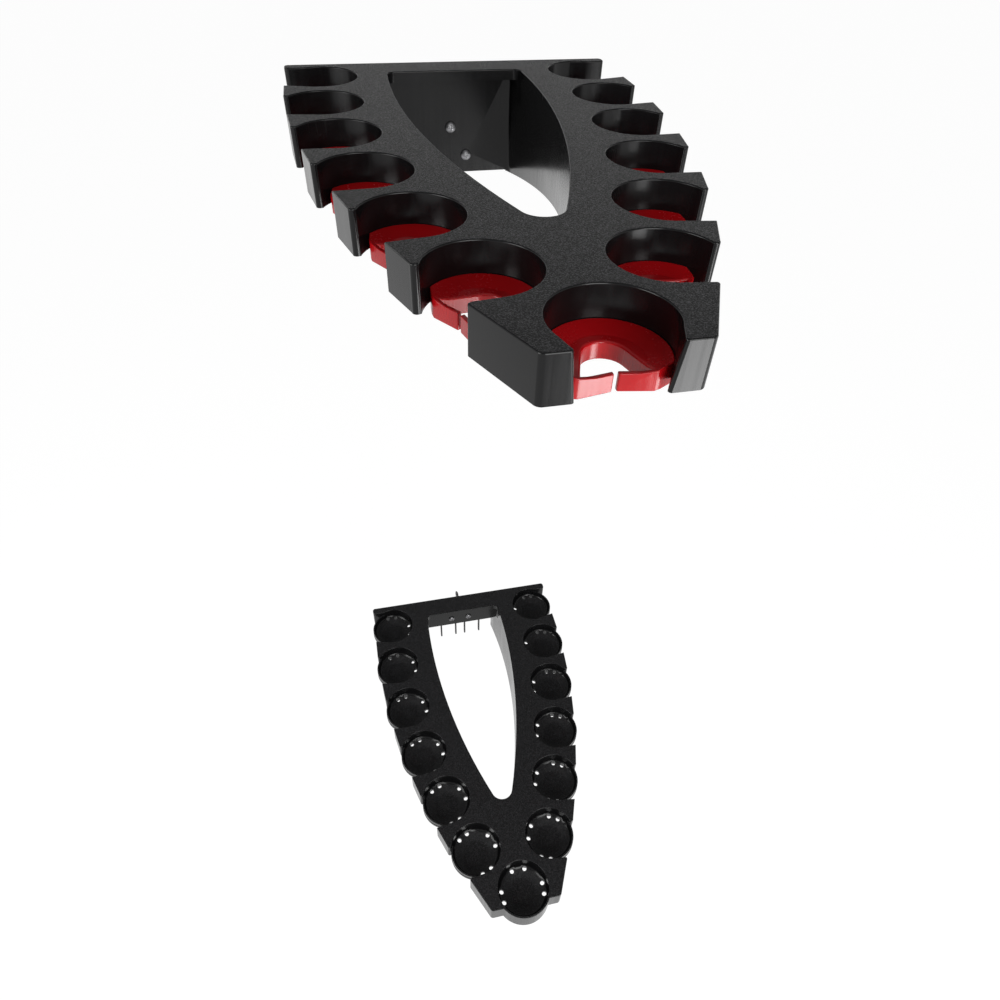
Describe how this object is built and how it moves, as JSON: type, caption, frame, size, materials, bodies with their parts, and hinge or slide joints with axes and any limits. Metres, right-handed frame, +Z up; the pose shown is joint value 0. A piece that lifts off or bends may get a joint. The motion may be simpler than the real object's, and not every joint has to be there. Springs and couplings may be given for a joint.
{
  "type": "fishing rod rack",
  "caption": "Wall rack for upright fishing rods: a tapering upper holder with soft slit inserts in open pockets, and a matching lower holder with a drained cup for each butt.",
  "frame": {"origin": "middle of the upper holder's screw triangle, on the wall plane", "axes": "+Z up, +Y into the wall, +X to the right seen from the front; the rack reaches forward along -Y"},
  "size_m": [0.2446, 0.435, 0.729],
  "materials": {
    "black_plastic": "moulded, finely stippled on top and glossy on the walls",
    "red_rubber": "glossy",
    "zinc_steel": "zinc plated"
  },
  "bodies": {
    "root": {"upper_holder": "black_plastic", "insert_front": "red_rubber", "insert_left_1": "red_rubber", "insert_left_2": "red_rubber", "insert_left_3": "red_rubber", "insert_left_4": "red_rubber", "insert_left_5": "red_rubber", "insert_left_6": "red_rubber", "insert_right_1": "red_rubber", "insert_right_2": "red_rubber", "insert_right_3": "red_rubber", "insert_right_4": "red_rubber", "insert_right_5": "red_rubber", "insert_right_6": "red_rubber", "lower_holder": "black_plastic", "upper_screws": "zinc_steel", "lower_screws": "zinc_steel"}
  },
  "joints": []
}
